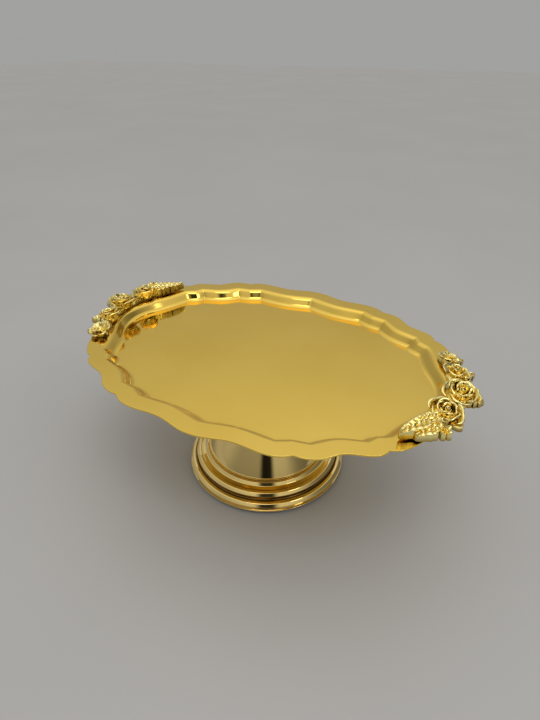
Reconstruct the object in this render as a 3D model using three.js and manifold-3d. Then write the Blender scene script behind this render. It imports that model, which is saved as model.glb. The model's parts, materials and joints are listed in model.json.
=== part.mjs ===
// Footed oval tray: a serpentine tray with cast rose handles, screwed onto a weighted trumpet foot.
// Millimetres, +Z up, +X along the tray's long axis, origin on the table under the stem's axis.
import * as THREE from 'three';
import { mergeVertices } from 'three/addons/utils/BufferGeometryUtils.js';
import Module from 'manifold-3d';

const wasm = await Module();
wasm.setup();

// ---- Driving dimensions ----
const GAP = 0.3;                 // clearance between pieces that touch
const TRAY_HALF_LENGTH = 157;
const TRAY_HALF_WIDTH = 114.5;
const RIM_TOP = 112.5;           // height of the rim above the table
const SHEET = 1.2;               // tray sheet thickness
const RIM_WIDTH = 12;            // flat band round the top
const WELL_DEPTH = 8;
const WALL_RUN = 9;              // level distance that the sloping wall covers
const BASE_RADIUS = 67.2;
const BASE_LIP = 3;              // height of the base's lower edge above the table
const CONE_FOOT_RADIUS = 50.4;
const CONE_FOOT = 18.7;
const CONE_TOP = 85.3;
const STEM_RADIUS = 17.6;
const COLLAR_RADIUS = 20.2;
const ROD_RADIUS = 4;
const THREAD_PITCH = 1.25;
const THREAD_TURNS = 4.75;
const SCREW_RADIUS = 1.5;        // handle and cover screws
const SCREW_HOLE = SCREW_RADIUS + GAP;
const ROD_HOLE = ROD_RADIUS + GAP;
const PLATE_RADIUS = 30;
const BOSS_RADIUS = 8;
const NUT_FLATS = 13;

// ---- Heights that follow ----
const FLOOR_TOP = RIM_TOP - WELL_DEPTH;
const FLOOR_UNDER = FLOOR_TOP - SHEET;
const PLATE_TOP = FLOOR_UNDER - GAP;
const PLATE_THICK = 1.5;
const PLATE_UNDER = PLATE_TOP - PLATE_THICK;
const SEAT_TOP = PLATE_UNDER - GAP;
const SEAT_THICK = 1;
const SEAT_UNDER = SEAT_TOP - SEAT_THICK;
const COLLAR_TOP = SEAT_UNDER - GAP;
const COLLAR_UNDER = CONE_TOP + GAP;
const COLLAR_FLOOR = COLLAR_UNDER + 2;
const BOSS_TOP = PLATE_UNDER - GAP;
const BOSS_BORE_TOP = BOSS_TOP - 0.6;
const ROD_TOP = BOSS_BORE_TOP - GAP;
const BOSS_UNDER = ROD_TOP - THREAD_TURNS * THREAD_PITCH;
const DECK_TOP = CONE_FOOT - GAP;
const DECK_UNDER = DECK_TOP - SHEET;

const GOLD = { color: 0xd4af52, metalness: 1, roughness: 0.12 };
const CAST_GOLD = { color: 0xd9a93c, metalness: 1, roughness: 0.25 };
const STEEL = { color: 0xb4b6b8, metalness: 1, roughness: 0.35 };
const IRON = { color: 0x3c3d40, metalness: 0.6, roughness: 0.7 };
const RUBBER = { color: 0x161616, metalness: 0, roughness: 0.85 };
const NYLON = { color: 0xe8e6dc, metalness: 0, roughness: 0.5 };
const BLACK_STEEL = { color: 0x202022, metalness: 0.5, roughness: 0.5 };

const group = new THREE.Group();

function place(name, geometry, look) {
  const mesh = new THREE.Mesh(geometry, new THREE.MeshStandardMaterial(look));
  mesh.name = name;
  group.add(mesh);
}

// ---- Solids ----
function toSolid(geometry) {
  const bare = geometry.clone();
  bare.deleteAttribute('normal');
  bare.deleteAttribute('uv');
  const merged = mergeVertices(bare, 1e-4);
  const vertProperties = new Float32Array(merged.attributes.position.array);
  const triVerts = new Uint32Array(merged.index.array);
  return new wasm.Manifold(new wasm.Mesh({ numProp: 3, vertProperties, triVerts }));
}

function toGeometry(solid) {
  const mesh = solid.getMesh();
  const geometry = new THREE.BufferGeometry();
  geometry.setAttribute('position', new THREE.BufferAttribute(mesh.vertProperties.slice(), 3));
  geometry.setIndex(new THREE.BufferAttribute(mesh.triVerts.slice(), 1));
  return geometry;
}

// A body of revolution about Z; the profile lists [radius, height] and closes on itself.
function turned(profile, segments) {
  const points = [...profile, profile[0]].map(([r, z]) => new THREE.Vector2(r, z));
  return new THREE.LatheGeometry(points, segments).rotateX(Math.PI / 2);
}

function washer(inner, outer, bottom, top, segments = 24) {
  return turned([[inner, bottom], [outer, bottom], [outer, top], [inner, top]], segments);
}

function rod(radius, bottom, top, segments) {
  const height = top - bottom;
  const cylinder = new THREE.CylinderGeometry(radius, radius, height, segments);
  return cylinder.rotateX(Math.PI / 2).translate(0, 0, bottom + height / 2);
}

function hexNut(acrossFlats, bore, bottom, top) {
  const blank = toSolid(rod(acrossFlats / Math.sqrt(3), bottom, top, 6));
  return toGeometry(blank.subtract(toSolid(rod(bore, bottom - 1, top + 1, 20))));
}

// ---- Serpentine outline ----
// One quarter of the rim, from the long axis (0 degrees of the ellipse's angle) to the short axis.
// Peaks are where the edge bows out; the size is a fraction of the ellipse.
const PEAKS = [
  { at: 0, size: 0.995 },
  { at: 35.5, size: 1.003 },
  { at: 43, size: 1.006 },
  { at: 59, size: 1.006 },
  { at: 68.5, size: 1.004 },
  { at: 90, size: 0.987 },
];
// Between neighbouring peaks the edge dips: long shallow bays, and small nicks between close peaks.
const BAYS = [
  { rimDip: 0.030, wallDip: 0.034, nick: false, steps: 7 },
  { rimDip: 0.018, wallDip: 0.016, nick: true, steps: 4 },
  { rimDip: 0.034, wallDip: 0.037, nick: false, steps: 5 },
  { rimDip: 0.020, wallDip: 0.016, nick: true, steps: 4 },
  { rimDip: 0.040, wallDip: 0.042, nick: false, steps: 6 },
];
const NICK_SHARPNESS = 2.2;
const FLUTE_SHARPNESS = 0.8;     // under 1, so that the flutes meet at ridges

// Fraction of the ellipse at an angle of 0 to 90 degrees, from the rim's edge, flute 0, to the
// fluted line where the wall meets the floor, flute 1.
function outlineSize(degrees, flute) {
  const bay = PEAKS.findIndex((peak, i) => i > 0 && degrees <= peak.at) - 1;
  const from = PEAKS[bay];
  const to = PEAKS[bay + 1];
  const u = (degrees - from.at) / (to.at - from.at);
  const size = from.size + (to.size - from.size) * u;
  const wave = Math.sin(Math.PI * u);
  const nick = Math.pow(1 - Math.abs(2 * u - 1), NICK_SHARPNESS);
  const rimDip = BAYS[bay].rimDip * (BAYS[bay].nick ? nick : wave * wave);
  const wallDip = BAYS[bay].wallDip * Math.pow(wave, FLUTE_SHARPNESS);
  return size - rimDip - (wallDip - rimDip) * flute;
}

// The angles of one quarter's vertices, so that every peak and nick has one.
function quarterAngles() {
  const angles = [];
  BAYS.forEach((bay, i) => {
    const span = PEAKS[i + 1].at - PEAKS[i].at;
    for (let k = 0; k < bay.steps; k += 1) {
      angles.push(PEAKS[i].at + span * k / bay.steps);
    }
  });
  return angles;
}

// All round: [angle in radians, folded angle in degrees].
function outlineAngles() {
  const quarter = quarterAngles();
  const back = [90, ...quarter.slice(1).reverse()];
  const half = [...quarter.map((a) => [a, a]), ...back.map((a) => [180 - a, a])];
  const full = [...half, ...half.map(([a, folded]) => [a + 180, folded])];
  return full.map(([a, folded]) => [THREE.MathUtils.degToRad(a), folded]);
}

const ANGLES = outlineAngles();

// One loop of the tray's section: inset from the rim's edge, at a height.
function trayLoop(inset, height, flute) {
  return ANGLES.map(([angle, folded]) => {
    const size = outlineSize(folded, flute);
    const x = (TRAY_HALF_LENGTH * size - inset) * Math.cos(angle);
    const y = (TRAY_HALF_WIDTH * size - inset) * Math.sin(angle);
    return [x, y, height];
  });
}

// Skins a stack of equal loops and closes both ends with a fan, outward faces on the outside.
function skin(loops) {
  const count = loops[0].length;
  const positions = loops.flat(2);
  const first = loops.length * count;
  positions.push(0, 0, loops[0][0][2], 0, 0, loops.at(-1)[0][2]);
  const index = [];
  for (let i = 0; i < count; i += 1) {
    const j = (i + 1) % count;
    for (let k = 0; k + 1 < loops.length; k += 1) {
      const low = k * count;
      const high = low + count;
      index.push(low + i, low + j, high + j, low + i, high + j, high + i);
    }
    index.push(first, j, i);
    index.push(first + 1, first - count + i, first - count + j);
  }
  const geometry = new THREE.BufferGeometry();
  geometry.setAttribute('position', new THREE.Float32BufferAttribute(positions, 3));
  geometry.setIndex(index);
  return geometry;
}

// ---- Tray ----
const WALL_FOOT = RIM_WIDTH + WALL_RUN;   // inset of the line where the wall meets the floor
const WALL_EASE = 2.6;           // the wall's ends ease into the rim and the floor over this run
const EASE_DROP = 1.1;

// Handle screws of the right end, on the middle of the rim's band.
const SCREW_PLACES = [[143.5, 20], [141.5, -27]];

// The screws' places on both ends; the left end is the right end after a half turn.
function screwPlaces() {
  const places = [];
  for (const [side, sign] of [['right', 1], ['left', -1]]) {
    SCREW_PLACES.forEach(([x, y], i) => {
      places.push({ tag: `${side}_${'ab'[i]}`, x: sign * x, y: sign * y });
    });
  }
  return places;
}

function traySheet() {
  const underRim = RIM_TOP - SHEET;
  const lean = SHEET * 0.8;      // the underside lies this much further out than the top, on the slope
  const upper = [
    [0, RIM_TOP, 0], [RIM_WIDTH, RIM_TOP, 0.5], [RIM_WIDTH + WALL_EASE, RIM_TOP - EASE_DROP, 0.6],
    [WALL_FOOT - WALL_EASE, FLOOR_TOP + EASE_DROP, 0.9], [WALL_FOOT, FLOOR_TOP, 1],
  ];
  const lower = [
    [WALL_FOOT - lean / 2, FLOOR_UNDER, 1], [WALL_FOOT - WALL_EASE - lean, FLOOR_UNDER + EASE_DROP, 0.9],
    [RIM_WIDTH + WALL_EASE - lean, underRim - EASE_DROP, 0.6], [RIM_WIDTH - lean / 2, underRim, 0.5],
    [0, underRim, 0],
  ];
  return skin([...lower, ...upper].map(([inset, height, flute]) => trayLoop(inset, height, flute)));
}

function buildTray() {
  let sheet = toSolid(traySheet());
  for (const { x, y } of screwPlaces()) {
    const hole = rod(SCREW_HOLE, RIM_TOP - 5, RIM_TOP + 5, 12).translate(x, y, 0);
    sheet = sheet.subtract(toSolid(hole));
  }
  place('tray_shell', toGeometry(sheet), GOLD);
}

function buildTrayFixings() {
  place('backing_plate', rod(PLATE_RADIUS, PLATE_UNDER, PLATE_TOP, 40), STEEL);
  const boss = [
    [0, BOSS_BORE_TOP], [ROD_HOLE, BOSS_BORE_TOP], [ROD_HOLE, BOSS_UNDER],
    [BOSS_RADIUS, BOSS_UNDER], [BOSS_RADIUS, BOSS_TOP], [0, BOSS_TOP],
  ];
  place('threaded_boss', turned(boss, 24), STEEL);
  place('seat_washer', washer(BOSS_RADIUS + 0.5, 17, SEAT_UNDER, SEAT_TOP, 32), NYLON);
}

// ---- Handle castings ----
const CASTING_UNDER = RIM_TOP + GAP;
const CASTING_PLATE = 3.2;       // thickness of the backbone that carries flowers and leaves
const FLOWERS = [
  { x: 135.5, y: 41, radius: 9.5, height: 8 },
  { x: 144, y: 20, radius: 10.5, height: 11.5 },
  { x: 151.5, y: -2.8, radius: 12.5, height: 14 },
  { x: 146.3, y: -28, radius: 11, height: 13.5 },
  { x: 147, y: -46, radius: 5.2, height: 9.5 },
];
const LEAVES = [
  { x: 143, y: -36, length: 32.5, width: 19, turn: 231, height: 8.5 },
  { x: 136, y: 38, length: 12.5, width: 10, turn: 40, height: 4.5 },
  { x: 145, y: 21, length: 13.5, width: 10, turn: 38, height: 4.5 },
  { x: 152, y: -4, length: 13.8, width: 13, turn: 15, height: 5.5 },
  { x: 148, y: -13, length: 12, width: 8, turn: -22, height: 4.5 },
  { x: 147, y: -29, length: 11.5, width: 10, turn: -24, height: 4.5 },
];
const BACKBONE = [[131, 46], [139.5, 31], [145.5, 15], [147.5, -4], [144.5, -26], [137, -44]];
const BACKBONE_WIDTH = 8;

function extruded(points, bottom, height) {
  const shape = new THREE.Shape(points.map(([x, y]) => new THREE.Vector2(x, y)));
  const geometry = new THREE.ExtrudeGeometry(shape, { depth: height, bevelEnabled: false });
  return geometry.translate(0, 0, bottom);
}

// A flower as a stepped dome: wide open petals below, a rounded heart above.
function flower({ x, y, radius, height }) {
  const profile = [
    [0, 0], [radius * 0.8, 0], [radius, height * 0.42], [radius * 0.9, height * 0.6],
    [radius * 0.62, height * 0.68], [radius * 0.58, height * 0.9], [radius * 0.3, height], [0, height],
  ];
  return turned(profile, 10).translate(x, y, CASTING_UNDER);
}

// A leaf with a toothed edge, from its stalk at the given place.
function leaf({ x, y, length, width, turn, height }) {
  const teeth = 4;
  const side = [];
  for (let i = 0; i <= teeth; i += 1) {
    const along = i / teeth;
    const half = Math.max(Math.sin(Math.PI * (0.12 + 0.88 * along)) * width / 2, 0.4);
    side.push([along * length, half]);
    if (i < teeth) {
      side.push([(along + 0.55 / teeth) * length, half * 0.78]);
    }
  }
  const outline = [...side.map(([a, b]) => [a, -b]), ...side.reverse()];
  const body = extruded(outline, 0, height);
  return body.rotateZ(THREE.MathUtils.degToRad(turn)).translate(x, y, CASTING_UNDER);
}

// The strip under the flowers, a band along the rim's end.
function backbone() {
  const half = BACKBONE_WIDTH / 2;
  const curve = new THREE.CatmullRomCurve3(BACKBONE.map(([x, y]) => new THREE.Vector3(x, y, 0)));
  const stations = 8;
  const outer = [];
  const inner = [];
  for (let i = 0; i <= stations; i += 1) {
    const at = curve.getPoint(i / stations);
    const along = curve.getTangent(i / stations);
    outer.push([at.x - along.y * half, at.y + along.x * half]);
    inner.push([at.x + along.y * half, at.y - along.x * half]);
  }
  return extruded([...outer, ...inner.reverse()], CASTING_UNDER, CASTING_PLATE);
}

function handleCasting() {
  let solid = toSolid(backbone());
  for (const size of FLOWERS) {
    solid = solid.add(toSolid(flower(size)));
  }
  for (const size of LEAVES) {
    solid = solid.add(toSolid(leaf(size)));
  }
  for (const [x, y] of SCREW_PLACES) {
    const hole = rod(SCREW_HOLE, CASTING_UNDER - 1, CASTING_UNDER + 6, 12).translate(x, y, 0);
    solid = solid.subtract(toSolid(hole));
  }
  return toGeometry(solid);
}

// A screw from below: round head, plain shank in place of the thread.
function screw(headTop, tip) {
  const headRadius = SCREW_RADIUS * 1.9;
  const headThick = 1.6;
  return turned([
    [0, headTop - headThick], [headRadius * 0.8, headTop - headThick], [headRadius, headTop - 1],
    [headRadius, headTop], [SCREW_RADIUS, headTop], [SCREW_RADIUS, tip], [0, tip],
  ], 10);
}

function buildHandles() {
  const casting = handleCasting();
  place('handle_casting_right', casting, CAST_GOLD);
  place('handle_casting_left', casting.clone().rotateZ(Math.PI), CAST_GOLD);
  const washerTop = RIM_TOP - SHEET - GAP;
  const washerUnder = washerTop - 0.8;
  for (const { tag, x, y } of screwPlaces()) {
    const ring = washer(SCREW_HOLE, 3.4, washerUnder, washerTop, 10);
    place(`handle_washer_${tag}`, ring.translate(x, y, 0), STEEL);
    const fixing = screw(washerUnder - GAP, CASTING_UNDER + 5.5);
    place(`handle_screw_${tag}`, fixing.translate(x, y, 0), STEEL);
  }
}

// ---- Foot ----
function buildCollar() {
  const recess = 11.5;
  const rise = COLLAR_TOP - COLLAR_UNDER;
  const profile = [
    [ROD_HOLE, COLLAR_UNDER], [STEM_RADIUS, COLLAR_UNDER], [COLLAR_RADIUS - 0.8, COLLAR_UNDER + rise * 0.12],
    [COLLAR_RADIUS, COLLAR_UNDER + rise * 0.4], [COLLAR_RADIUS - 0.7, COLLAR_UNDER + rise * 0.8],
    [COLLAR_RADIUS - 2.4, COLLAR_TOP], [recess, COLLAR_TOP], [recess, COLLAR_FLOOR], [ROD_HOLE, COLLAR_FLOOR],
  ];
  place('stem_collar', turned(profile, 40), GOLD);
  const nutUnder = COLLAR_FLOOR + GAP;
  place('jam_nut', hexNut(NUT_FLATS, ROD_HOLE, nutUnder, nutUnder + 3.5), STEEL);
}

// Trumpet: radius at a fraction of its height above the base.
const TRUMPET = [
  [0, CONE_FOOT_RADIUS], [0.12, 45.6], [0.3, 38], [0.5, 29], [0.68, 22.4], [0.84, 18.8], [1, STEM_RADIUS],
];

function buildCone() {
  const rise = CONE_TOP - CONE_FOOT;
  const outside = TRUMPET.map(([part, radius]) => [radius, CONE_FOOT + part * rise]);
  const inside = TRUMPET.map(([part, radius]) => {
    const thin = SHEET + 0.5 * (1 - part);
    return [radius - thin, Math.min(CONE_FOOT + part * rise, CONE_TOP - SHEET)];
  });
  const profile = [...outside, [ROD_HOLE, CONE_TOP], [ROD_HOLE, CONE_TOP - SHEET], ...inside.reverse()];
  place('stem_cone', turned(profile, 48), GOLD);
}

// Stepped base: a bead at the lip, a second bead above it, and a hollow rising to the deck.
// Each entry: [radius, height above the lip].
const BASE_STEPS = [
  [BASE_RADIUS, 0], [BASE_RADIUS + 0.3, 2.4], [66.2, 4.3], [62.2, 5.1], [61.4, 6], [61.2, 8.2],
  [59.8, 10.4], [56.2, 11.2], [52.8, 13.2], [51.2, DECK_TOP - BASE_LIP],
];
const BASE_WALL = SHEET * 1.2;

function buildBase() {
  const outside = BASE_STEPS.map(([radius, rise]) => [radius, BASE_LIP + rise]);
  const inside = BASE_STEPS.slice(0, -1).map(([radius, rise]) => {
    return [radius - BASE_WALL, BASE_LIP + Math.max(rise - SHEET / 2, 0)];
  });
  inside.push([BASE_STEPS.at(-1)[0] - BASE_WALL, DECK_UNDER]);
  const profile = [...outside, [ROD_HOLE, DECK_TOP], [ROD_HOLE, DECK_UNDER], ...inside.reverse()];
  place('base_ring', turned(profile, 56), GOLD);
}

const BALLAST_UNDER = 11.5;
const COVER_TOP = 3.6;
const COVER_UNDER = 2.6;
const PAD_TOP = COVER_UNDER - GAP;
const COVER_SCREW_CIRCLE = 34;

// Three places at equal steps on the cover's screw circle.
function coverScrewPlaces() {
  return [0, 1, 2].map((i) => {
    const angle = Math.PI / 2 + i * 2 * Math.PI / 3;
    return [COVER_SCREW_CIRCLE * Math.cos(angle), COVER_SCREW_CIRCLE * Math.sin(angle)];
  });
}

function drilled(geometry, radius, bottom, top) {
  let solid = toSolid(geometry);
  for (const [x, y] of coverScrewPlaces()) {
    solid = solid.subtract(toSolid(rod(radius, bottom, top, 12).translate(x, y, 0)));
  }
  return toGeometry(solid);
}

function buildBaseInside() {
  const ballastTop = DECK_UNDER - GAP;
  const ballast = washer(ROD_HOLE, 46, BALLAST_UNDER, ballastTop, 36);
  place('ballast_disc', drilled(ballast, SCREW_HOLE, BALLAST_UNDER - 1, ballastTop + 1), IRON);
  const washerTop = BALLAST_UNDER - GAP;
  const washerUnder = washerTop - 1.4;
  place('base_washer', washer(ROD_HOLE, 12, washerUnder, washerTop), STEEL);
  const springTop = washerUnder - GAP;
  const springUnder = springTop - 1.8;
  const ring = toSolid(washer(ROD_HOLE, 7.2, springUnder, springTop, 20));
  const slit = new THREE.BoxGeometry(8, 1.2, 6).rotateX(0.5).translate(7, 0, springTop - 0.9);
  place('spring_washer', toGeometry(ring.subtract(toSolid(slit))), STEEL);
  const nutTop = springUnder - GAP;
  place('base_nut', hexNut(NUT_FLATS, ROD_HOLE, nutTop - 4.8, nutTop), STEEL);
  place('tie_rod', rod(ROD_RADIUS, 1.6, ROD_TOP, 20), STEEL);
}

function buildUnderside() {
  const cover = washer(14, BASE_RADIUS - BASE_WALL - 2 * GAP, COVER_UNDER, COVER_TOP, 56);
  place('bottom_cover', drilled(cover, SCREW_HOLE, COVER_UNDER - 1, COVER_TOP + 1), BLACK_STEEL);
  place('non_slip_pad', washer(40, 62.5, 0, PAD_TOP, 56), RUBBER);
  coverScrewPlaces().forEach(([x, y], i) => {
    place(`cover_screw_${i + 1}`, screw(COVER_UNDER - GAP, BALLAST_UNDER + 3).translate(x, y, 0), STEEL);
  });
}

buildTray();
buildTrayFixings();
buildHandles();
buildCollar();
buildCone();
buildBase();
buildBaseInside();
buildUnderside();

export default group;
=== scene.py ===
import json
import math

import bmesh
import bpy
import numpy as np
from mathutils import Matrix, Vector


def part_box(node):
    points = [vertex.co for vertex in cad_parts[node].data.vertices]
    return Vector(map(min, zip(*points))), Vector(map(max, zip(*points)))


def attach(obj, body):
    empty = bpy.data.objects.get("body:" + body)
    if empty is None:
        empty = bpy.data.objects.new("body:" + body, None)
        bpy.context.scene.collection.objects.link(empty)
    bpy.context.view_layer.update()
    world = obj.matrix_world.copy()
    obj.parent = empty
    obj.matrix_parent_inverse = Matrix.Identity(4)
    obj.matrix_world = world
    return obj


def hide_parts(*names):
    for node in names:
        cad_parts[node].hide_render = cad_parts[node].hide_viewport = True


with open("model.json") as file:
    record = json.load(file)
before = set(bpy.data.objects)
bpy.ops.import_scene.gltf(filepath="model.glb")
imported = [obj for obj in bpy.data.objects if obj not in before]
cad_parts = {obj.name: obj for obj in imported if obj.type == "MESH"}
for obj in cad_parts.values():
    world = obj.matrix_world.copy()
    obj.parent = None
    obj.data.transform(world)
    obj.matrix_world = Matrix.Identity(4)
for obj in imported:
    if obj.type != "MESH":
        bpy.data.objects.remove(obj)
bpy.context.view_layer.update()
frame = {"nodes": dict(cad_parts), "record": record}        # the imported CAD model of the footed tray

MM = 0.001

# ---- Places, from the frame, in millimetres ----
TRAY_LOW, TRAY_HIGH = [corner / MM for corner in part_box("tray_shell")]
CONE_LOW, CONE_HIGH = [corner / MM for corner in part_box("stem_cone")]
COLLAR_LOW, COLLAR_HIGH = [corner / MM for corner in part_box("stem_collar")]
BASE_LOW, BASE_HIGH = [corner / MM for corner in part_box("base_ring")]
CASTING_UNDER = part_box("handle_casting_right")[0].z / MM

RIM_TOP = TRAY_HIGH.z
FLOOR_UNDER = TRAY_LOW.z
SHEET = 1.2              # thickness of the tray's and the trumpet's metal
FLOOR_TOP = FLOOR_UNDER + SHEET
RIM_WIDTH = 11.8         # flat band round the top
WALL_SLOPE = math.radians(57)
SHOULDER_RADIUS = 5.2    # bend between the rim and the wall
FOOT_RADIUS = 5.2        # bend between the wall and the floor
EDGE_RADIUS = 0.3        # rounding of the sheet's cut edge
FLOOR_RING = 22          # the floor's innermost loop, in from the wall's foot
ROD_HOLE = 4.4           # radius of the hole for the rod in each piece of the foot

# ---- Serpentine outline: [angle in degrees, fraction of the ellipse] of the places that bow out ----
PEAKS = [(0, 0.995), (35.5, 1.003), (43, 1.006), (59, 1.006), (68.5, 1.004), (90, 0.987)]
# Between them the edge dips: (rim's dip, wall's dip, whether it is a small nick).
BAYS = [(0.030, 0.034, False), (0.018, 0.016, True), (0.034, 0.037, False), (0.020, 0.016, True),
        (0.040, 0.042, False)]
NICK_SHARPNESS = 2.2
FLUTE_SHARPNESS = 0.8    # under 1, so that the wall's flutes meet at ridges
END_BAY_SKEW = 1.5       # over 1, so that the bay next to each tip is deepest away from it
END_BAY_SHARPNESS = 1.3
BAY_STEPS = 36           # places along each bay
HALF_LENGTH = TRAY_HIGH.x / PEAKS[0][1]
HALF_WIDTH = TRAY_HIGH.y / PEAKS[-1][1]


# ---- Small helpers ----
def mesh_object(name, vertices, faces):
    """A smoothly shaded mesh object from vertices in millimetres."""
    mesh = bpy.data.meshes.new(name)
    mesh.from_pydata([tuple(c * MM for c in v) for v in vertices], [], faces)
    mesh.update()
    mesh.shade_smooth()
    piece = bpy.data.objects.new(name, mesh)
    bpy.context.scene.collection.objects.link(piece)
    return piece


def weighted_normals(piece):
    """Flat faces keep flat highlights next to their rounded edges."""
    modifier = piece.modifiers.new("weighted_normals", "WEIGHTED_NORMAL")
    modifier.weight = 100
    modifier.keep_sharp = True


def bake_modifiers(piece):
    """Applies the piece's modifiers to its mesh."""
    graph = bpy.context.evaluated_depsgraph_get()
    baked = bpy.data.meshes.new_from_object(piece.evaluated_get(graph))
    old = piece.data
    piece.modifiers.clear()
    piece.data = baked
    bpy.data.meshes.remove(old)


def finish_piece(piece, body, slot, material, *replaced):
    """Gives a piece its material, its body and the CAD nodes that it stands for."""
    piece.data.materials.clear()
    piece.data.materials.append(material)
    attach(piece, body)
    if replaced:
        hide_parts(*replaced)


# ---- Profiles ----
def rounded(corners, steps=6):
    """Rounds each corner (x, y, radius) of an open profile with an arc."""
    points = [corners[0][:2]]
    for before, here, after in zip(corners, corners[1:], corners[2:]):
        p = Vector(here[:2])
        back = Vector(before[:2]) - p
        ahead = Vector(after[:2]) - p
        turn = math.pi - back.angle(ahead)
        radius = here[2]
        reach = radius * math.tan(turn / 2)
        reach = min(reach, back.length * 0.49, ahead.length * 0.49)
        if reach < 1e-3:
            points.append(tuple(p))
            continue
        start = p + back.normalized() * reach
        side = -1 if back.cross(ahead) > 0 else 1
        centre = start + Vector((-back.y, back.x)).normalized() * (-side * reach / math.tan(turn / 2))
        for k in range(steps + 1):
            points.append(tuple(centre + Matrix.Rotation(side * turn * k / steps, 2) @ (start - centre)))
    points.append(corners[-1][:2])
    return points


def smooth_curve(points, steps):
    """A Catmull-Rom curve through (x, y) points."""
    padded = [points[0], *points, points[-1]]
    out = []
    for a, b, c, d in zip(padded, padded[1:], padded[2:], padded[3:]):
        a, b, c, d = map(np.array, (a, b, c, d))
        for k in range(steps):
            t = k / steps
            out.append(tuple(0.5 * (2 * b + (c - a) * t + (2 * a - 5 * b + 4 * c - d) * t * t
                                    + (3 * b - a - 3 * c + d) * t ** 3)))
    return out + [points[-1]]


def turned(name, profile, segments):
    """A body of revolution about Z from a profile of (radius, height) that closes on itself."""
    vertices = []
    for r, z in profile:
        for k in range(segments):
            a = 2 * math.pi * k / segments
            vertices.append((r * math.cos(a), r * math.sin(a), z))
    faces = []
    rows = len(profile)
    for i in range(rows):
        low, high = i * segments, (i + 1) % rows * segments
        for k in range(segments):
            j = (k + 1) % segments
            faces.append((low + k, low + j, high + j, high + k))
    piece = mesh_object(name, vertices, faces)
    weighted_normals(piece)
    return piece


# ---- Tray ----
def outline_size(degrees, flute):
    """Fraction of the ellipse at an angle of its first quarter.

    flute goes from 0 at the rim's edge to 1 at the wall's foot.
    """
    bay = next(i for i in range(len(BAYS)) if degrees <= PEAKS[i + 1][0])
    (start, first), (end, last) = PEAKS[bay], PEAKS[bay + 1]
    rim_dip, wall_dip, nick = BAYS[bay]
    u = (degrees - start) / (end - start)
    size = first + (last - first) * u
    wave = max(math.sin(math.pi * u), 0)
    rim = rim_dip * ((1 - abs(2 * u - 1)) ** NICK_SHARPNESS if nick else wave * wave)
    if bay:
        wall = wall_dip * wave ** FLUTE_SHARPNESS
    else:
        wall = wall_dip * max(math.sin(math.pi * u ** END_BAY_SKEW), 0) ** END_BAY_SHARPNESS
    return size - rim - (wall - rim) * flute


def outline_angles():
    """Angles all round, with one on every peak and nick, and the same angles folded to one quarter."""
    quarter = []
    for (start, _), (end, _) in zip(PEAKS, PEAKS[1:]):
        quarter += [start + (end - start) * k / BAY_STEPS for k in range(BAY_STEPS)]
    half = [(a, a) for a in quarter] + [(180 - a, a) for a in [90] + quarter[:0:-1]]
    return half + [(a + 180, folded) for a, folded in half]


ANGLES = outline_angles()


def tray_loop(inset, height):
    """One loop of the tray; half of a flute's depth comes across the rim and half down the wall."""
    over_rim = min(inset / RIM_WIDTH, 1)
    over_wall = min(max((inset - RIM_WIDTH) / (WALL_FOOT - RIM_WIDTH), 0), 1)
    flute = 0.5 * over_rim + 0.5 * over_wall
    loop = []
    for angle, folded in ANGLES:
        size = outline_size(folded, flute)
        a = math.radians(angle)
        x = (HALF_LENGTH * size - inset) * math.cos(a)
        y = (HALF_WIDTH * size - inset) * math.sin(a)
        loop.append((x, y, height))
    return loop


# The section's corners before rounding: where the wall's slope meets the rim and the floor.
WALL_HEAD = RIM_WIDTH + SHOULDER_RADIUS * math.tan(WALL_SLOPE / 2)
WALL_FOOT = WALL_HEAD + (RIM_TOP - FLOOR_TOP) / math.tan(WALL_SLOPE)


def tray_section():
    """The sheet's section as (inset, height), from under the floor round the rim to the floor's top.

    The points with no rounding close behind the edge and beside the wall's foot keep the flats flat.
    """
    bend = SHEET * math.tan(WALL_SLOPE / 2)
    rim_under = RIM_TOP - SHEET
    floor_ring = WALL_FOOT + FLOOR_RING
    below = rounded([
        (floor_ring, FLOOR_UNDER, 0), (WALL_FOOT - bend, FLOOR_UNDER, FOOT_RADIUS + SHEET),
        (WALL_HEAD - bend, rim_under, SHOULDER_RADIUS - SHEET), (0.6, rim_under, 0),
    ])
    edge = rounded([
        (0.5, rim_under, 0), (0, rim_under, EDGE_RADIUS), (0, RIM_TOP, EDGE_RADIUS), (0.5, RIM_TOP, 0),
    ], 4)
    above = rounded([
        (0.6, RIM_TOP, 0), (1.1, RIM_TOP, 0), (WALL_HEAD, RIM_TOP, SHOULDER_RADIUS),
        (WALL_FOOT, FLOOR_TOP, FOOT_RADIUS), (WALL_FOOT + 6, FLOOR_TOP, 0), (floor_ring, FLOOR_TOP, 0),
    ], 8)
    return below + edge[1:-1] + above


def make_tray():
    """The tray: one closed sheet with a fan at the middle of each side of its floor."""
    loops = [tray_loop(inset, z) for inset, z in tray_section()]
    count = len(ANGLES)
    vertices = [v for loop in loops for v in loop]
    faces = []
    for i in range(len(loops) - 1):
        low, high = i * count, (i + 1) * count
        for k in range(count):
            j = (k + 1) % count
            faces.append((low + k, low + j, high + j, high + k))
    top = len(loops) * count
    vertices += [(0, 0, FLOOR_UNDER), (0, 0, FLOOR_TOP)]
    for k in range(count):
        j = (k + 1) % count
        faces.append((top, j, k))
        faces.append((top + 1, top - count + k, top - count + j))
    piece = mesh_object("tray_sheet", vertices, faces)
    weighted_normals(piece)
    finish_piece(piece, "tray", "gold_plate", GOLD_TRAY, "tray_shell")


# ---- Foot ----
SEGMENTS = 192           # sides of the base and the trumpet
COLLAR_SEGMENTS = 128
DECK_UNDER = 1.5         # from the deck's top down to its underside
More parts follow.
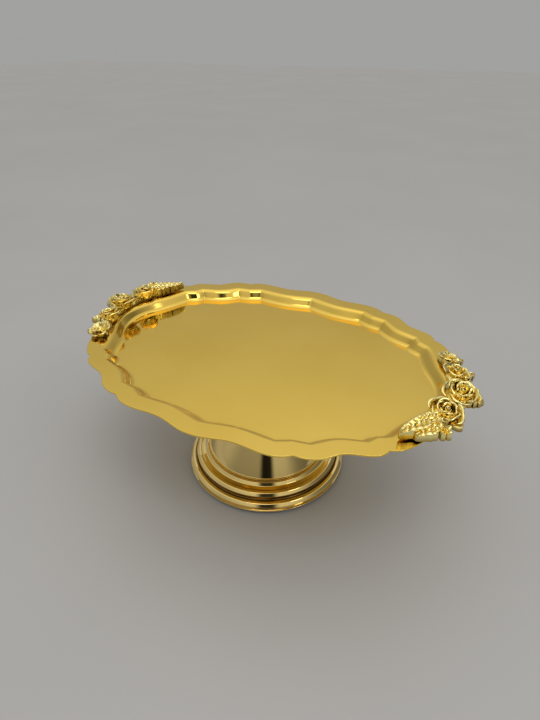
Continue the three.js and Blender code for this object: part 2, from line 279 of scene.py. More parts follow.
# The base's rings from its lip up: (inset from its edge, height above its lip, rounding).
BASE_RINGS = [
    (2.3, 0, 0), (0.2, 0, 0.5), (0, 0.8, 0.4), (1.3, 1.3, 0.2), (0.5, 4.0, 0.5), (2.5, 6.2, 2.2),
    (4.3, 6.8, 1.6), (6.7, 6.3, 0.3), (5.9, 9.9, 0.5), (7.9, 12.1, 2.2), (9.7, 12.7, 1.6),
    (11.1, 12.2, 0.3), (13.6, 13.0, 2.2),
]
# Its deck under the trumpet: (radius, depth below the deck's top, rounding).
BASE_DECK = [(51.9, 0.2, 0.4), (51.0, 0, 0.3), (49.8, 0, 0.3), (49.4, 0.5, 0.2), (ROD_HOLE, 0.5, 0)]


def make_base():
    """Two domed rings whose sides tuck in under them, then a hollow that rises to the deck."""
    lip = BASE_LOW.z
    deck = BASE_HIGH.z
    edge = BASE_HIGH.x
    rings = [(edge - inset, lip + height, radius) for inset, height, radius in BASE_RINGS]
    outer = rounded(rings + [(r, deck - depth, radius) for r, depth, radius in BASE_DECK], 8)
    # The inside, from the rod's hole out under the deck and down behind the rings.
    inner = [(ROD_HOLE, deck - DECK_UNDER), (50.4, deck - DECK_UNDER), (54.0, lip + 11.2),
             (60.0, lip + 10.6), (60.2, lip + 5.0), (edge - 2.5, lip + 4.6)]
    piece = turned("base_steps", outer + inner, SEGMENTS)
    finish_piece(piece, "foot", "gold_plate", GOLD_FOOT, "base_ring")


# Trumpet's radius at each share of its height; the ends follow the frame.
TRUMPET = [(0.12, 45.6), (0.3, 38.0), (0.5, 29.0), (0.68, 22.4), (0.84, 18.8)]
TRUMPET_NECK = 17.6      # its radius at the top
TRUMPET_LIP = 0.5        # radius of the bead round its foot


def make_cone():
    """The trumpet: a beaded foot, a hollow flank, and a flat top with the rod's hole."""
    foot, top = CONE_LOW.z, CONE_HIGH.z
    rise = top - foot
    foot_radius = CONE_HIGH.x
    bead = foot_radius - TRUMPET_LIP
    middle = [(r, foot + s * rise) for s, r in TRUMPET]
    flank = smooth_curve([(foot_radius - 1.0, foot + 1.1), *middle, (TRUMPET_NECK, top)], 7)
    lip = [(bead + TRUMPET_LIP * math.sin(t), foot + TRUMPET_LIP - TRUMPET_LIP * math.cos(t))
           for t in np.linspace(0.2, 2.4, 8)]
    hole = [(ROD_HOLE, top), (ROD_HOLE, top - SHEET)]
    inside = [(r - SHEET, min(z, top - SHEET)) for r, z in reversed(flank[:-1:3])]
    profile = lip + flank + hole + inside + [(foot_radius - 2.6, foot + 0.4)]
    piece = turned("stem_trumpet", profile, SEGMENTS)
    finish_piece(piece, "foot", "gold_plate", GOLD_FOOT, "stem_cone")


def make_collar():
    """The turned collar under the tray, open at the top."""
    low, high = COLLAR_LOW.z, COLLAR_HIGH.z
    belly = COLLAR_HIGH.x
    profile = rounded([
        (ROD_HOLE, low, 0), (17.7, low, 0.2), (18.6, low + 0.5, 0.3), (18.9, low + 1.7, 0.4),
        (18.3, low + 2.2, 0.2), (belly, low + 3.2, 1.2), (belly + 0.1, low + 7.4, 2.4),
        (18.9, low + 9.6, 0.4), (19.3, low + 10.4, 0.5), (18.8, low + 11.6, 0.5), (17.8, high, 0.3),
        (11.6, high, 0.3), (11.6, low + 2.2, 0.3), (ROD_HOLE, low + 2.2, 0),
    ], 5)
    piece = turned("collar_turned", profile, COLLAR_SEGMENTS)
    finish_piece(piece, "foot", "gold_plate", GOLD_FOOT, "stem_collar")


# ---- Cast handles: closed bodies in millimetres above the casting's underside, for the +X end ----
def closed_body(loops, fans):
    """A closed body from a stack of closed loops; it ends in fans, or in strips that close a folded loop."""
    rows, count = loops.shape[:2]
    vertices = [tuple(v) for v in loops.reshape(-1, 3)]
    faces = []
    for i in range(rows - 1):
        low, high = i * count, (i + 1) * count
        for k in range(count):
            j = (k + 1) % count
            faces.append((low + k, low + j, high + j, high + k))
    last = (rows - 1) * count
    if fans:
        vertices += [tuple(loops[0].mean(0)), tuple(loops[-1].mean(0))]
        for k in range(count):
            j = (k + 1) % count
            faces.append((rows * count, j, k))
            faces.append((rows * count + 1, last + k, last + j))
    else:
        for k in range(count // 2 - 1):
            across = count - 1 - k
            faces.append((across - 1, across, k, k + 1)[::-1])
            faces.append((last + across - 1, last + across, last + k, last + k + 1))
    return outward(vertices, faces)


def outward(vertices, faces):
    """Turns the faces round if the body is inside out."""
    points = np.array(vertices)

    def wedge(a, b, c):
        return np.dot(points[a], np.cross(points[b], points[c]))

    volume = sum(wedge(*f[:3]) + (wedge(f[0], f[2], f[3]) if len(f) == 4 else 0) for f in faces)
    return vertices, faces if volume > 0 else [f[::-1] for f in faces]


def turned_to(grid, place, turn, tilt=0.0, tilt_turn=0.0):
    """Turns a grid about Z, tilts it, moves it to its place and keeps it above the casting's underside."""
    axis = Vector((-math.sin(tilt_turn), math.cos(tilt_turn), 0))
    matrix = Matrix.Rotation(tilt, 3, axis) @ Matrix.Rotation(turn, 3, "Z")
    placed = grid @ np.array(matrix).T + np.array(place)
    placed[..., 2] = np.maximum(placed[..., 2], 0)
    return placed


def thick_sheet(grid, thick):
    """A closed sheet with a grid of points along its middle."""
    normal = np.cross(np.gradient(grid, axis=0), np.gradient(grid, axis=1))
    normal /= np.linalg.norm(normal, axis=2)[:, :, None]
    half = normal * thick[:, :, None] / 2
    return np.concatenate([grid + half, (grid - half)[:, ::-1]], 1)


def petal(spread, base, lip, roll, thickness, ruffle, phase):
    """One petal about the flower's axis; base and lip are (radius, height), the lip rolls over outwards."""
    # Rows go up the petal and columns across it, closer together near its edges.
    rows, columns = 11, 17
    v = np.sin(np.linspace(0, np.pi / 2, rows))[:, None]
    u = np.sin(np.linspace(-np.pi / 2, np.pi / 2, columns))[None, :]
    rise = v * (1 - 0.34 * np.abs(u) ** 3)
    # The middle line is a curve on four corners; the sides are lower, wider and ruffled.
    corners = [base, (base[0] + 0.55 * (lip[0] - base[0]), base[1] + 0.35 * (lip[1] - base[1])),
               (lip[0] - 0.2 * roll, lip[1] + 0.25 * roll), (lip[0] + roll, lip[1] - 0.35 * roll)]
    weights = [(1 - rise) ** 3, 3 * rise * (1 - rise) ** 2, 3 * rise ** 2 * (1 - rise), rise ** 3]
    radius = sum(w * c[0] for w, c in zip(weights, corners))
    height = sum(w * c[1] for w, c in zip(weights, corners))
    radius = radius * (1 + 0.10 * u ** 2 * rise) + ruffle * np.sin(4.1 * u + phase) * rise ** 2
    height = height + ruffle * (np.cos(2.9 * u + phase) + 0.5 * np.cos(8 * u + 3 * phase)) * rise ** 2
    angle = u * spread * (0.80 + 0.20 * np.sin(np.pi / 2 * np.minimum(rise * 1.3, 1)))
    grid = np.stack([radius * np.cos(angle), radius * np.sin(angle), height], 2)
    # A thicker bead towards the lip, thinned to a round edge.
    bead = thickness * (0.75 + 0.45 * np.clip((rise - 0.6) / 0.3, 0, 1))
    edge = np.sqrt(1 - np.clip((np.maximum(np.abs(u), v) - 0.82) / 0.19, 0, 1) ** 2)
    return grid, bead * np.maximum(edge, 0.3)


def bud(radius, height, turns, thickness):
    """The tightly rolled petal in the middle of a rose."""
    rows, columns = 7, 44
    v = np.linspace(0, 1, rows)[:, None]
    u = np.linspace(0, 1, columns)[None, :]
    angle = u * turns * 2 * np.pi
    r = radius * (0.16 + 0.84 * u) * (0.86 + 0.14 * np.sin(np.pi * v))
    z = height * (0.25 + (0.75 - 0.16 * u) * v)
    grid = np.stack([r * np.cos(angle), r * np.sin(angle), z], 2)
    return grid, thickness * np.maximum(np.sqrt(1 - np.clip((v - 0.8) / 0.21, 0, 1) ** 2), 0.4) * (1 + 0 * u)


GOLDEN_TURN = math.radians(137.5)
# The seat under a rose's petals: (share of its radius, share of its height).
ROSE_SEAT = [(0.12, 0.40), (0.40, 0.36), (0.66, 0.16), (0.62, -0.04), (0.2, -0.04)]


def rose(place, radius, height, turn, petals, tilt, tilt_turn):
    """A rose: a rolled heart, then petals that open wider and lower as they go out."""
    bodies = []

    def stand(grid, at):
        return turned_to(grid, place, at, tilt, tilt_turn)

    grid, thick = bud(0.21 * radius, height, 1.7, 0.075 * radius)
    bodies.append(closed_body(stand(thick_sheet(grid, thick), turn), fans=False))
    for n in range(petals):
        t = n / (petals - 1)
        wobble = math.sin(2.4 * n + 5 * turn) + 0.6 * math.sin(5.3 * n + turn)
        base = (radius * (0.14 + 0.46 * t), height * (0.42 - 0.34 * t))
        lip = (radius * (0.30 + 0.60 * t + 0.03 * wobble), height * (0.99 - 0.36 * t ** 1.4 + 0.05 * wobble))
        grid, thick = petal(math.radians(64 - 16 * t), base, lip, radius * (0.02 + 0.14 * t), 0.095 * radius,
                            0.055 * radius, 2.0 * n + turn)
        at = turn + n * GOLDEN_TURN
        bodies.append(closed_body(stand(thick_sheet(grid, thick), at), fans=False))
    angles = np.linspace(0, 2 * np.pi, 48, endpoint=False)
    rings = []
    for share, lift in ROSE_SEAT:
        edge = share * radius
        rings.append(np.stack([edge * np.cos(angles), edge * np.sin(angles), 0 * angles + lift * height], 1))
    bodies.append(closed_body(stand(np.array(rings), 0), fans=True))
    return bodies


def relief(outline, top, place, turn, rings, tilt=0.0, tilt_turn=0.0):
    """A slab with a flat underside: outline(angle) is its radius, top(share of it, angle) its height."""
    angles = np.linspace(0, 2 * np.pi, 100, endpoint=False)
    edge = outline(angles)
    rows = []
    for share in np.linspace(0.05, 1, rings):
        reach = edge * share
        rows.append(np.stack([reach * np.cos(angles), reach * np.sin(angles), top(share, angles)], 1))
    rows.append(np.stack([edge * np.cos(angles), edge * np.sin(angles), 0 * angles], 1))
    return [closed_body(turned_to(np.array(rows), place, turn, tilt, tilt_turn), fans=True)]


def star_flower(place, radius, height, petals, turn):
    """A small open flower with creased petals round a raised button."""
    def outline(a):
        return radius * (0.60 + 0.40 * np.abs(np.cos(petals * a / 2)) ** 0.7)

    def top(share, a):
        crease = np.abs(np.cos(petals * a / 2))
        bowl = 0.62 + 0.34 * share ** 1.5 * crease ** 0.5 - 0.16 * (1 - crease)
        bowl -= 0.10 * max(share - 0.86, 0) / 0.14
        ridge = 0.10 * np.clip(1 - np.abs(np.sin(petals * a / 2)) * 5 * share, 0, 1)
        button = 0.34 * math.sqrt(max(1 - (share / 0.27) ** 2, 0))
        return height * (bowl + ridge + button)

    return relief(outline, top, place, turn, 16)


def open_flower(place, radius, height, petals, turn, tilt, tilt_turn):
    """A wide open flower: two rings of broad petals round a domed, pitted button."""
    bodies = []
    # Each ring: its foot's height, its reach and its lip's height, as shares, and its number of petals.
    rings = [(0.10, 1.0, 0.62, petals), (0.30, 0.62, 0.86, petals - 1)]
    for ring, (low, reach, lift, count) in enumerate(rings):
        spread = math.radians(27 + 3 * ring)
        base = (radius * 0.14, height * (low + 0.1))
        lip = (radius * (reach - 0.12), height * lift)
        for k in range(count):
            grid, thick = petal(spread, base, lip, radius * 0.11, 0.10 * radius, 0.03 * radius, k)
            at = turn + (k + 0.5 * ring) * 2 * math.pi / count
            sheet = turned_to(thick_sheet(grid, thick), place, at, tilt, tilt_turn)
            bodies.append(closed_body(sheet, fans=False))

    def button(a):
        return 0.30 * radius + 0 * a

    def dome(share, a):
        pits = 0.03 * np.cos(5 * a) * math.sin(3 * math.pi * share)
        return height * (0.30 + 0.52 * math.sqrt(max(1 - (share * 1.02) ** 2, 0)) + pits)

    def seat(a):
        return radius * (0.70 + 0.06 * np.cos(petals * a))

    def seat_top(_, a):
        return height * 0.34 + 0 * a

    bodies += relief(button, dome, place, turn, 12, tilt, tilt_turn)
    bodies += relief(seat, seat_top, place, turn, 6, tilt, tilt_turn)
    return bodies


def lobe(place, radius, height, turn):
    """A round backing petal, seen under the roses from outside."""
    def outline(a):
        return radius * (1 + 0.07 * np.cos(3 * a))

    def top(share, a):
        return height - 0.5 * share ** 4 + 0 * a

    return relief(outline, top, place, turn, 8)


def leaf(place, length, width, turn, rise, teeth):
    """A thick cast leaf: a toothed edge over combed sides, blisters between its veins, a raised midrib."""
    # s goes from the leaf's foot to its tip, u across it.
    rows, columns = 10 * teeth + 3, 33
    s = np.linspace(0, 1, rows)[:, None]
    u = np.sin(np.linspace(-np.pi / 2, np.pi / 2, columns))[None, :]
    wander = 0.16 * np.sin(5 * s + turn) + 0.10 * np.sin(13 * s + 2 * turn)
    # Half the width, cut by the teeth and never less than 0.3 mm.
    tooth = (s * teeth + 0.15) % 1.0
    half = width / 2 * np.sin(np.pi * (0.10 + 0.90 * s) ** 0.8) ** 0.75
    half = np.maximum(half * (1.10 - 0.34 * tooth ** 1.2 + wander * np.sign(u) * 0.5), 0.3)
    # The top: slanting blisters and dimples, the midrib, sides that fold down and a lower tip.
    strip = s * teeth - 0.85 * np.abs(u) ** 0.8 + wander
    blister = np.abs(np.sin(np.pi * strip)) ** 0.4
    dimple = np.sin(2.1 * np.pi * np.abs(u) + 9 * s + turn) * np.sin(np.pi * np.abs(u))
    midrib = np.exp(-(u * half / 0.55) ** 2)
    fold = 1.3 * np.abs(u) - 1.0 * u ** 4
    z = (rise - 2.8 + 1.55 * blister + 0.4 * dimple + 1.2 * midrib + fold - 1.2 * s ** 3
         + 0.8 * np.sin(np.pi * s))
    x = s * length + 1.2 * np.abs(u) * tooth
    y = u * half
    upper = np.stack([x, y, z], 2)
    lower = upper.copy()
    lower[:, :, 2] = 0
    loops = np.concatenate([upper, lower[:, ::-1]], 1)
    return [closed_body(turned_to(loops, place, turn), fans=False)]


# The band that carries the flowers: its middle line round the rim's end, width, thickness, and section
# as (share of half its width, share of its thickness).
BACKBONE = [(131, 46), (139.5, 31), (145.5, 15), (147.5, -4), (144.5, -26), (137, -44)]
BAND_WIDTH = 8.5
BAND_THICK = 3.2
BAND_SECTION = [(-1, 0.7), (-0.7, 1), (0.7, 1), (1, 0.7), (1, 0), (-1, 0)]


def backbone():
    """The band that carries the flowers along the rim's end."""
    line = np.array(smooth_curve(BACKBONE, 9))
    along = np.gradient(line, axis=0)
    along /= np.linalg.norm(along, axis=1)[:, None]
    side = np.stack([along[:, 1], -along[:, 0]], 1)
    half = BAND_WIDTH / 2 * (1 + 0.16 * np.sin(np.arange(len(line)) * 0.9))
    points = []
    for share, z in BAND_SECTION:
        edge = line + side * (share * half)[:, None]
        points.append(np.column_stack([edge, np.full(len(line), z * BAND_THICK)]))
    return [closed_body(np.array(points).transpose(1, 0, 2), fans=True)]


# Leaves: (place, length, width, direction in degrees, height, teeth).
LEAVES = [
    ((141.5, -35.5, 1.2), 31.5, 12, 232.5, 7.4, 7), ((145.5, -41.5, 0.8), 21, 10.5, 229, 6.2, 5),
    ((141, -35.5, 2.0), 12, 7, 221, 7.6, 4), ((136, 38, 0.0), 12.5, 9, 40, 4.4, 4),
    ((146, 22, 0.0), 12.5, 10, 38, 5.0, 4), ((152, -4, 0.0), 14, 12, 15, 5.0, 4),
]
# Roses: (place, radius, height, turn, petals, tilt, direction of the tilt in degrees).
ROSES = [
    ((144, 20, 0.9), 10.8, 10.4, 1.1, 8, 0.18, 20), ((150.0, -3.3, 0.9), 13.4, 11.8, 0.4, 10, 0.24, -25),
    ((143.8, -26.8, 0.9), 11.8, 11.6, 2.2, 9, 0.32, -50),
]
# Backing petals: (place, radius, height, turn).
LOBES = [((156.3, -16.3, 0), 3.9, 4.0, 0.2), ((153.4, -32.8, 0), 3.9, 3.6, 1.3),
         ((151.5, -24.0, 0), 3.6, 5.0, 0.7)]


def casting_bodies():
    """Every body of the right-hand casting."""
    bodies = backbone()
    for place, length, width, direction, rise, teeth in LEAVES:
        bodies += leaf(place, length, width, math.radians(direction), rise, teeth)
    bodies += open_flower((135.5, 41, 0.8), radius=9.5, height=8.0, petals=6, turn=0.5,
                          tilt=0.34, tilt_turn=math.radians(70))
    for place, radius, height, turn, petals, tilt, direction in ROSES:
        bodies += rose(place, radius, height, turn, petals, tilt, math.radians(direction))
    bodies += star_flower((147.0, -45.5, 0.8), radius=5.2, height=7.8, petals=5, turn=0.9)
    for place, radius, height, turn in LOBES:
        bodies += lobe(place, radius, height, turn)
    return bodies


def keep_largest(piece):
    """Removes the small closed pockets that joining leaves inside the metal."""
    mesh = bmesh.new()
    mesh.from_mesh(piece.data)
    left, islands = set(mesh.verts), []
    while left:
        island, front = set(), [next(iter(left))]
        while front:
            vertex = front.pop()
            if vertex in island:
                continue
            island.add(vertex)
            front.extend(edge.other_vert(vertex) for edge in vertex.link_edges)
        left -= island
        islands.append(island)
    islands.sort(key=len)
    bmesh.ops.delete(mesh, geom=[v for island in islands[:-1] for v in island], context="VERTS")
    mesh.to_mesh(piece.data)
    mesh.free()


def fused(name, bodies):
    """Joins closed bodies into one closed mesh."""
    parts = bpy.data.collections.new(name + "_parts")
    pieces = [mesh_object(f"{name}_{i}", *body) for i, body in enumerate(bodies)]
    for piece in pieces[1:]:
        parts.objects.link(piece)
    whole = pieces[0]
    join = whole.modifiers.new("join", "BOOLEAN")
    join.operation = "UNION"
    join.solver = "MANIFOLD"
    join.operand_type = "COLLECTION"
    join.collection = parts
    bake_modifiers(whole)
    for piece in pieces[1:]:
        bpy.data.objects.remove(piece)
    bpy.data.collections.remove(parts)
    whole.name = name
    keep_largest(whole)
    return whole


CREASE = math.radians(38)    # edges sharper than this are shaded as creases


def make_castings():
    """Both castings: the left one is the right one turned half way round."""
    right = fused("rose_handle_right", casting_bodies())
    right.data.transform(Matrix.Translation((0, 0, CASTING_UNDER * MM)))
    right.data.shade_smooth()
    right.data.set_sharp_from_angle(angle=CREASE)
    left = bpy.data.objects.new("rose_handle_left", right.data.copy())
    bpy.context.scene.collection.objects.link(left)
    left.data.transform(Matrix.Rotation(math.pi, 4, "Z"))
    finish_piece(right, "tray", "gold_casting", GOLD_CAST, "handle_casting_right")
    finish_piece(left, "tray", "gold_casting", GOLD_CAST, "handle_casting_left")


# ---- Materials ----
MIX_A, MIX_B, MIX_RESULT = 6, 7, 2    # the colour sockets of a Mix node


class Nodes:
    """A short way to write a material's nodes."""

    def __init__(self, name):
        self.material = bpy.data.materials.new(name)
        self.material.use_nodes = True
        self.tree = self.material.node_tree
        self.shader = self.tree.nodes["Principled BSDF"]
        self.place = self.add("ShaderNodeTexCoord").outputs["Object"]

    def add(self, kind, **values):
        node = self.tree.nodes.new(kind)
        for key, value in values.items():
            if key in node.inputs:
                node.inputs[key].default_value = value
            else:
                setattr(node, key, value)
        return node

    def link(self, a, b):
        self.tree.links.new(a, b)

    def feed(self, value, socket):
        """Links a socket's value, or sets a plain one."""
        if isinstance(value, bpy.types.NodeSocket):
            self.link(value, socket)
        else:
            socket.default_value = value

    def noise(self, scale, detail=3.0, roughness=0.5):
        node = self.add("ShaderNodeTexNoise", Scale=scale, Detail=detail, Roughness=roughness)
        self.link(self.place, node.inputs["Vector"])
        return node.outputs["Fac"]

    def ramp(self, source, low, high, colours):
        node = self.add("ShaderNodeValToRGB")
        self.link(source, node.inputs["Fac"])
        node.color_ramp.elements[0].position = low
        node.color_ramp.elements[1].position = high
        for element, colour in zip(node.color_ramp.elements, colours):
            element.color = (*colour, 1)
        return node.outputs["Color"]

    def multiplied(self, colour, by, share):
        """A colour multiplied by another, as far as the share says."""
        node = self.add("ShaderNodeMix", data_type="RGBA", blend_type="MULTIPLY")
        self.feed(share, node.inputs["Factor"])
        self.feed(colour, node.inputs[MIX_A])
        self.feed(by, node.inputs[MIX_B])
        return node.outputs[MIX_RESULT]

    def span(self, source, low, high, to_low, to_high):
        node = self.add("ShaderNodeMapRange")
        self.link(source, node.inputs["Value"])
        for key, value in (("From Min", low), ("From Max", high), ("To Min", to_low), ("To Max", to_high)):
            node.inputs[key].default_value = value
        return node.outputs["Result"]

    def bump(self, source, distance, strength=1.0, before=None):
        node = self.add("ShaderNodeBump", Distance=distance, Strength=strength)
        self.link(source, node.inputs["Height"])
        if before is not None:
            self.link(before, node.inputs["Normal"])
        return node.outputs["Normal"]

    def set(self, **values):
        for key, value in values.items():
            self.shader.inputs[key].default_value = value


GROOVE_SHADE_REACH = 0.007         # how far round a point its grooves are looked for, to paint shade into them, in metres
GROOVE_SHADE_SPAN = (0.45, 0.92)   # openness at which the painted shade in a groove starts to fade, and has gone
# The casting's tones: a darker tone painted into its hollows as shade, and the gold's own tone on its
# ridges.
CAST_HOLLOW_SHADE = (0.76, 0.53, 0.115)
CAST_RIDGE = (1.0, 0.87, 0.36)
# Painted shade multiplied into the casting low on its sides.
CAST_LOW_SHADE = (0.46, 0.35, 0.20, 1)
CAST_LOW_SHADE_SPAN = (0.0008, 0.0044)    # heights above the casting's underside over which the painted shade fades out, in metres
CAST_ROUGHNESS = (0.07, 0.18)


def gold(name, light, deep, groove_shade, rough, waves, wave_scale, grain):
    """Bright gold plating: slow waves, wiping marks, a fine grain and painted shade in its grooves."""
    n = Nodes(name)
    n.set(Metallic=1.0)
    tone = n.ramp(n.noise(14, detail=4), 0.35, 0.7, [light, deep])
    open_sky = n.add("ShaderNodeAmbientOcclusion", samples=8, only_local=True, Distance=GROOVE_SHADE_REACH)
    # Painted shade: the colour is darkened in grooves, where occlusion finds the metal closed in.
    shade = n.ramp(open_sky.outputs["AO"], *GROOVE_SHADE_SPAN, [groove_shade, (1, 1, 1)])
    n.link(n.multiplied(tone, shade, 1), n.shader.inputs["Base Color"])
    smudge = n.noise(36, detail=6, roughness=0.62)
    n.link(n.span(smudge, 0.35, 0.75, *rough), n.shader.inputs["Roughness"])
    wave = n.bump(n.noise(wave_scale, detail=2, roughness=0.4), waves)
    fine = n.bump(n.noise(900, detail=2), grain, strength=0.5, before=wave)
    n.link(fine, n.shader.inputs["Normal"])
    return n.material


def cast_gold(name):
    """Plated casting: painted shade in its hollows and low on its sides, with a die-cast skin's soft
    pebbling.
    """
    n = Nodes(name)
    n.set(Metallic=1.0)
    hollow = n.add("ShaderNodeNewGeometry").outputs["Pointiness"]
    # Painted shade: the tone darkens where the surface curves into a hollow.
    tone = n.ramp(hollow, 0.44, 0.54, [CAST_HOLLOW_SHADE, CAST_RIDGE])
    split = n.add("ShaderNodeSeparateXYZ")
    n.link(n.place, split.inputs[0])
    low, high = (CASTING_UNDER * MM + height for height in CAST_LOW_SHADE_SPAN)
    # Painted shade: the colour darkens near the casting's underside, and fades out higher up.
    shaded = n.multiplied(tone, CAST_LOW_SHADE, n.span(split.outputs["Z"], low, high, 1, 0))
    n.link(shaded, n.shader.inputs["Base Color"])
    n.link(n.span(n.noise(160, detail=4), 0.3, 0.7, *CAST_ROUGHNESS), n.shader.inputs["Roughness"])
    pebble = n.bump(n.noise(420, roughness=0.6), distance=0.00012, strength=0.6)
    n.link(pebble, n.shader.inputs["Normal"])
    return n.material


def plain(name, colours, metallic, rough, scale, depth):
    """A mottled finish: two close tones, uneven roughness and a fine bump."""
    n = Nodes(name)
    n.set(Metallic=metallic)
    patch = n.noise(scale, detail=5, roughness=0.6)
    n.link(n.ramp(patch, 0.3, 0.7, colours), n.shader.inputs["Base Color"])
    n.link(n.span(patch, 0.3, 0.7, *rough), n.shader.inputs["Roughness"])
    n.link(n.bump(n.noise(scale * 6), depth, strength=0.7), n.shader.inputs["Normal"])
    return n.material


# Each finish's third tone is painted shade, multiplied into its grooves.
TRAY_LIGHT, TRAY_DEEP, TRAY_GROOVE_SHADE = (0.92, 0.65, 0.138), (0.87, 0.60, 0.115), (0.8, 0.74, 0.6)
FOOT_LIGHT, FOOT_DEEP, FOOT_GROOVE_SHADE = (0.97, 0.75, 0.32), (0.92, 0.69, 0.26), (0.22, 0.17, 0.10)
GOLD_TRAY = gold("gold_tray", TRAY_LIGHT, TRAY_DEEP, TRAY_GROOVE_SHADE, rough=(0.07, 0.13),
                 waves=0.0002, wave_scale=9, grain=0.000004)
GOLD_FOOT = gold("gold_foot", FOOT_LIGHT, FOOT_DEEP, FOOT_GROOVE_SHADE, rough=(0.04, 0.10),
                 waves=0.00008, wave_scale=16, grain=0.000004)
GOLD_CAST = cast_gold("gold_cast")

# Finishes of the CAD's own pieces, by slot: (name, two tones, metallic, roughness, scale, bump's depth).
FINISHES = {
    "zinc_steel": ("zinc_plated_steel", [(0.50, 0.51, 0.52), (0.68, 0.69, 0.70)],
                   1.0, (0.28, 0.45), 180, 0.00003),
    "iron": ("cast_iron", [(0.035, 0.035, 0.037), (0.09, 0.09, 0.095)], 0.7, (0.55, 0.8), 120, 0.0002),
    "black_steel": ("black_lacquer", [(0.012, 0.012, 0.013), (0.022, 0.022, 0.024)],
                    0.0, (0.3, 0.45), 90, 0.00004),
    "rubber_pad": ("pad_rubber", [(0.010, 0.010, 0.010), (0.022, 0.021, 0.020)],
                   0.0, (0.7, 0.9), 260, 0.00012),
    "nylon": ("seat_nylon", [(0.72, 0.70, 0.62), (0.82, 0.80, 0.74)], 0.0, (0.4, 0.55), 150, 0.00003),
}
CAD_MATERIALS = {slot: plain(*finish) for slot, finish in FINISHES.items()}


def dress_cad_nodes():
    """Gives every CAD node that stays in view its procedural material."""
    for row in frame["record"]["subparts"]:
        material = CAD_MATERIALS.get(row["material_slot"])
        if material is None:
            continue
        node = frame["nodes"][row["node"]]
        node.data.materials.clear()
        node.data.materials.append(material)


# ---- Stage ----
HALF_FLOOR = 6000        # half of the floor's side, in millimetres
FLOOR_TONES = [(0.47, 0.47, 0.48), (0.50, 0.50, 0.51)]


def make_floor():
    """A plain pale floor."""
    size = HALF_FLOOR
    corners = [(-size, -size, 0), (size, -size, 0), (size, size, 0), (-size, size, 0)]
    floor = mesh_object("floor", corners, [(0, 1, 2, 3)])
    n = Nodes("pale_floor")
    n.link(n.ramp(n.noise(3, detail=2), 0.3, 0.7, FLOOR_TONES), n.shader.inputs["Base Color"])
    n.set(Roughness=0.45)
    floor.data.materials.append(n.material)


# Camera: height and distance from the stem's axis, in millimetres, then its angles, in radians, and lens.
CAMERA_HEIGHT = 340.4
CAMERA_DISTANCE = 362.7
CAMERA_AZIMUTH = 0.4645
CAMERA_PITCH = 0.4526
CAMERA_YAW = 0.0081
CAMERA_LENS = 26.28
CAMERA_SHIFT = -0.0965
SENSOR_WIDTH = 36
CLIP_END = 20            # metres


def make_camera():
    """The camera, turned about the stem's axis."""
    data = bpy.data.cameras.new("camera")
    data.lens = CAMERA_LENS
    data.sensor_width = SENSOR_WIDTH
    data.shift_y = CAMERA_SHIFT
    data.clip_end = CLIP_END
    camera = bpy.data.objects.new("camera", data)
    bpy.context.scene.collection.objects.link(camera)
    yaw, pitch = CAMERA_YAW, CAMERA_PITCH
    right = Vector((math.cos(yaw), -math.sin(yaw), 0))
    ahead = Vector((math.cos(pitch) * math.sin(yaw), math.cos(pitch) * math.cos(yaw), -math.sin(pitch)))
    up = right.cross(ahead)
    turn = Matrix((right, up, -ahead)).transposed().to_4x4()
    move = Matrix.Translation(Vector((0, -CAMERA_DISTANCE, CAMERA_HEIGHT)) * MM)
    camera.matrix_world = Matrix.Rotation(CAMERA_AZIMUTH, 4, "Z") @ move @ turn
    bpy.context.scene.camera = camera


def make_light(name, place, aim, size, power, colour):
    """An oval lamp; places and sizes are in metres."""
    data = bpy.data.lights.new(name, "AREA")
    data.shape = "ELLIPSE"
    data.size, data.size_y = size
    data.energy = power
    data.color = colour
    lamp = bpy.data.objects.new(name, data)
    bpy.context.scene.collection.objects.link(lamp)
    lamp.location = place
    lamp.rotation_euler = (Vector(aim) - Vector(place)).to_track_quat("-Z", "Y").to_euler()


# The studio's brightness by height: (sine of the elevation, colour), the first at 0 and the last at 1.
STUDIO = [
    (0.0, (0.36, 0.355, 0.33)), (0.25, (0.42, 0.41, 0.385)), (0.42, (0.465, 0.455, 0.43)),
    (0.50, (0.52, 0.51, 0.475)), (0.58, (0.60, 0.59, 0.55)), (0.67, (0.74, 0.725, 0.68)),
    (0.80, (0.76, 0.745, 0.70)), (0.92, (0.95, 0.93, 0.87)), (1.0, (1.3, 1.27, 1.19)),
]
STUDIO_AZIMUTH = 0.4645      # the way to the studio's front
STUDIO_LEVEL = 0.98
# Each span is where a smooth step rises, along a direction: to the front, to the right or upwards.
FIGURE_FRONT, FIGURE_SIDE, FIGURE_TOP = (0.2, 0.45), (0.10, 0.27), (0.64, 0.76)
FIGURE_DARKNESS = 0.96
SCREEN_RIGHT, SCREEN_TOP = (0.5, 0.95), (0.42, 0.62)
SCREEN_DARKNESS = 0.6
DULL_FRONT, DULL_RIGHT, DULL_TOP = (0.05, 0.6), (-0.05, 0.25), (0.35, 0.62)
DULLNESS = 0.36
BACKDROP = (0.36, 0.36, 0.355, 1)


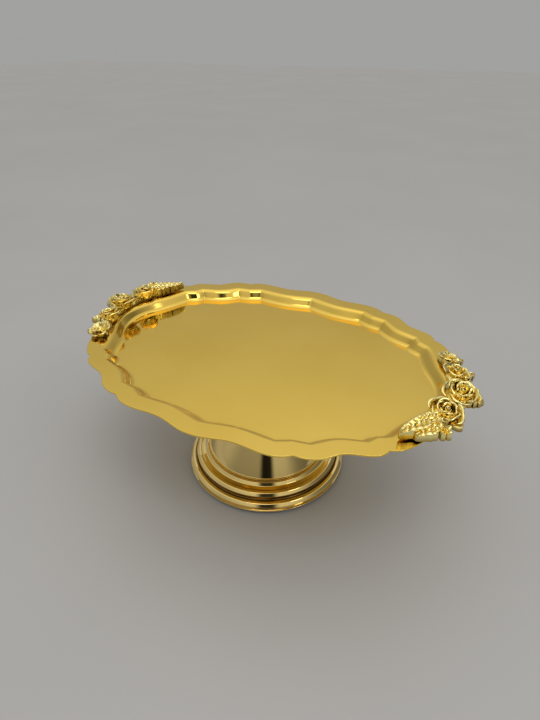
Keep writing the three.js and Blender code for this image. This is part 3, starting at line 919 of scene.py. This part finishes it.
def make_world():
    """A soft studio, plain to the eye.

    Reflections see pale walls and a bright ceiling, a dark figure in front, a grey screen at the right,
    and less light from low down at the left of the front.
    """
    world = bpy.data.worlds.new("studio")
    bpy.context.scene.world = world
    world.use_nodes = True
    tree = world.node_tree
    nodes, links = tree.nodes, tree.links
    nodes.clear()

    def math_node(operation, a, b):
        node = nodes.new("ShaderNodeMath")
        node.operation = operation
        for socket, value in zip(node.inputs, (a, b)):
            if isinstance(value, (int, float)):
                socket.default_value = value
            else:
                links.new(value, socket)
        return node.outputs[0]

    def times(a, b):
        return math_node("MULTIPLY", a, b)

    def rest(value):
        return math_node("SUBTRACT", 1, value)

    def along(x, y, z):
        node = nodes.new("ShaderNodeVectorMath")
        node.operation = "DOT_PRODUCT"
        node.inputs[1].default_value = (x, y, z)
        links.new(coords.outputs["Generated"], node.inputs[0])
        return node.outputs["Value"]

    def step(value, low, high):
        node = nodes.new("ShaderNodeMapRange")
        node.interpolation_type = "SMOOTHSTEP"
        node.inputs["From Min"].default_value = low
        node.inputs["From Max"].default_value = high
        links.new(value, node.inputs["Value"])
        return node.outputs["Result"]

    coords = nodes.new("ShaderNodeTexCoord")
    height = along(0, 0, 1)
    front = along(math.sin(STUDIO_AZIMUTH), -math.cos(STUDIO_AZIMUTH), 0)
    right = along(math.cos(STUDIO_AZIMUTH), math.sin(STUDIO_AZIMUTH), 0)
    walls = nodes.new("ShaderNodeValToRGB")
    links.new(height, walls.inputs["Fac"])
    elements = walls.color_ramp.elements
    for position, _ in STUDIO[1:-1]:
        elements.new(position)
    for element, (_, colour) in zip(elements, STUDIO):
        element.color = (*colour, 1)
    aside = math_node("ABSOLUTE", right, 0)
    figure = times(times(step(front, *FIGURE_FRONT), rest(step(aside, *FIGURE_SIDE))),
                   rest(step(height, *FIGURE_TOP)))
    screen = times(step(right, *SCREEN_RIGHT), rest(step(height, *SCREEN_TOP)))
    dark = math_node("MAXIMUM", times(screen, SCREEN_DARKNESS), times(figure, FIGURE_DARKNESS))
    dull = times(times(step(front, *DULL_FRONT), rest(step(height, *DULL_TOP))),
                 rest(step(right, *DULL_RIGHT)))
    dimmed = math_node("SUBTRACT", STUDIO_LEVEL, times(dull, DULLNESS))
    bright = times(rest(dark), dimmed)
    shade = nodes.new("ShaderNodeVectorMath")
    shade.operation = "SCALE"
    links.new(walls.outputs["Color"], shade.inputs[0])
    links.new(bright, shade.inputs["Scale"])
    studio = nodes.new("ShaderNodeBackground")
    links.new(shade.outputs[0], studio.inputs["Color"])
    backdrop = nodes.new("ShaderNodeBackground")
    backdrop.inputs["Color"].default_value = BACKDROP
    path = nodes.new("ShaderNodeLightPath")
    mix = nodes.new("ShaderNodeMixShader")
    links.new(path.outputs["Is Camera Ray"], mix.inputs["Fac"])
    links.new(studio.outputs[0], mix.inputs[1])
    links.new(backdrop.outputs[0], mix.inputs[2])
    out = nodes.new("ShaderNodeOutputWorld")
    links.new(mix.outputs[0], out.inputs["Surface"])


def make_stage():
    """The floor, camera, studio and lights."""
    make_floor()
    make_camera()
    make_world()
    make_light("softbox", place=(0.28, -0.56, 1.4), aim=(0, 0, 0.1), size=(1.0, 0.6),
               power=2.5, colour=(1.0, 0.98, 0.94))
    make_light("lamp", place=(0.95, -0.33, 0.95), aim=(0, 0, 0.05), size=(0.35, 0.35),
               power=0.9, colour=(1.0, 0.97, 0.93))
    bpy.context.scene.view_settings.view_transform = "Standard"


make_stage()
make_tray()
make_base()
make_cone()
make_collar()
make_castings()
dress_cad_nodes()
